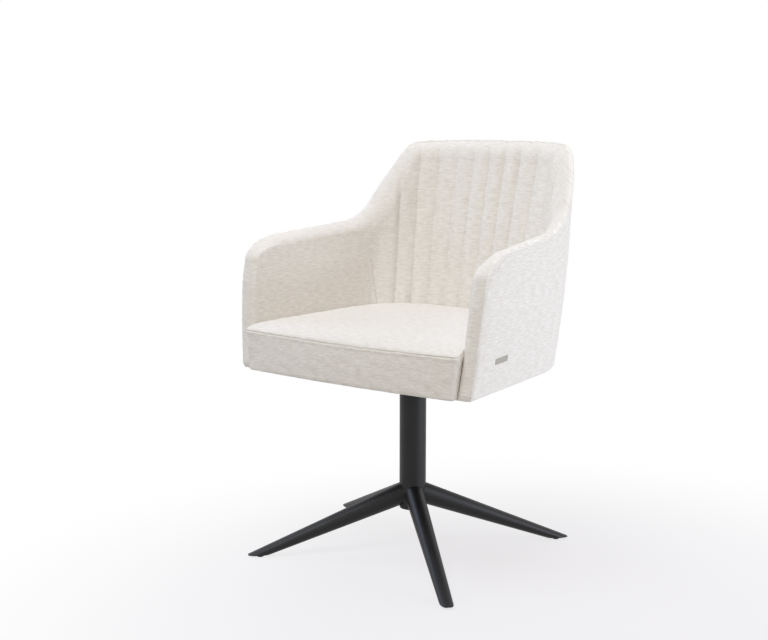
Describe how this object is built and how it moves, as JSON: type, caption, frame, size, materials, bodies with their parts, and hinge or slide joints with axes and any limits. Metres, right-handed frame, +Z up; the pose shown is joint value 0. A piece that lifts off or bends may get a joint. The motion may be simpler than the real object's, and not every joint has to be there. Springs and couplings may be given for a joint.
{
  "type": "swivel chair",
  "caption": "Swivel armchair with a padded tub shell, arms and a channelled back, on a round column with splayed, tapered oval legs.",
  "frame": {"origin": "the point on the floor under the swivel axis", "axes": "+Z up along the swivel axis, -Y the way the seat faces, +X to the right as seen from the front"},
  "size_m": [0.6249, 0.5862, 0.877],
  "materials": {
    "black_steel": "satin powder coat",
    "black_plastic": "matt",
    "bush_plastic": "smooth",
    "bearing_steel": "ground",
    "spring_steel": "blued",
    "cage_brass": "pressed sheet",
    "zinc_steel": "zinc plated",
    "plywood": "sanded, unfinished",
    "dust_cloth": "thin non-woven cloth",
    "cream_fabric": "coarse off-white weave",
    "tag_metal": "blank"
  },
  "bodies": {
    "base": {"column_tube": "black_steel", "column_plug": "black_plastic", "leg_front_left": "black_steel", "leg_front_right": "black_steel", "leg_rear_right": "black_steel", "leg_rear_left": "black_steel", "glide_front_left": "black_plastic", "glide_front_right": "black_plastic", "glide_rear_right": "black_plastic", "glide_rear_left": "black_plastic", "upper_bush": "bush_plastic", "lower_bush": "bush_plastic", "lower_race": "bearing_steel"},
    "ball_set": {"ball_cage": "cage_brass", "bearing_balls": "bearing_steel"},
    "seat": {"upper_race": "bearing_steel", "spindle": "bearing_steel", "spindle_washer": "spring_steel", "retaining_ring": "spring_steel", "swivel_plate": "black_steel", "plate_screws": "zinc_steel", "plate_washers": "zinc_steel", "tee_nuts": "zinc_steel", "seat_board": "plywood", "dust_cover": "dust_cloth", "shell_board": "plywood", "outer_cover": "cream_fabric", "edge_band": "cream_fabric", "arm_pad_left": "cream_fabric", "arm_pad_right": "cream_fabric", "back_pad": "cream_fabric", "seat_cushion": "cream_fabric", "side_tag": "tag_metal"}
  },
  "joints": [
    {"name": "swivel", "type": "hinge", "parent": "base", "child": "seat", "pos_m": [0, 0, 0.39], "axis": [0, 0, 1], "continuous": true},
    {"name": "cage_turn", "type": "hinge", "parent": "base", "child": "ball_set", "pos_m": [0, 0, 0.39], "axis": [0, 0, 1], "continuous": true}
  ],
  "couplings": [
    {"joint": "cage_turn", "follows": "swivel", "ratio": 0.5}
  ]
}
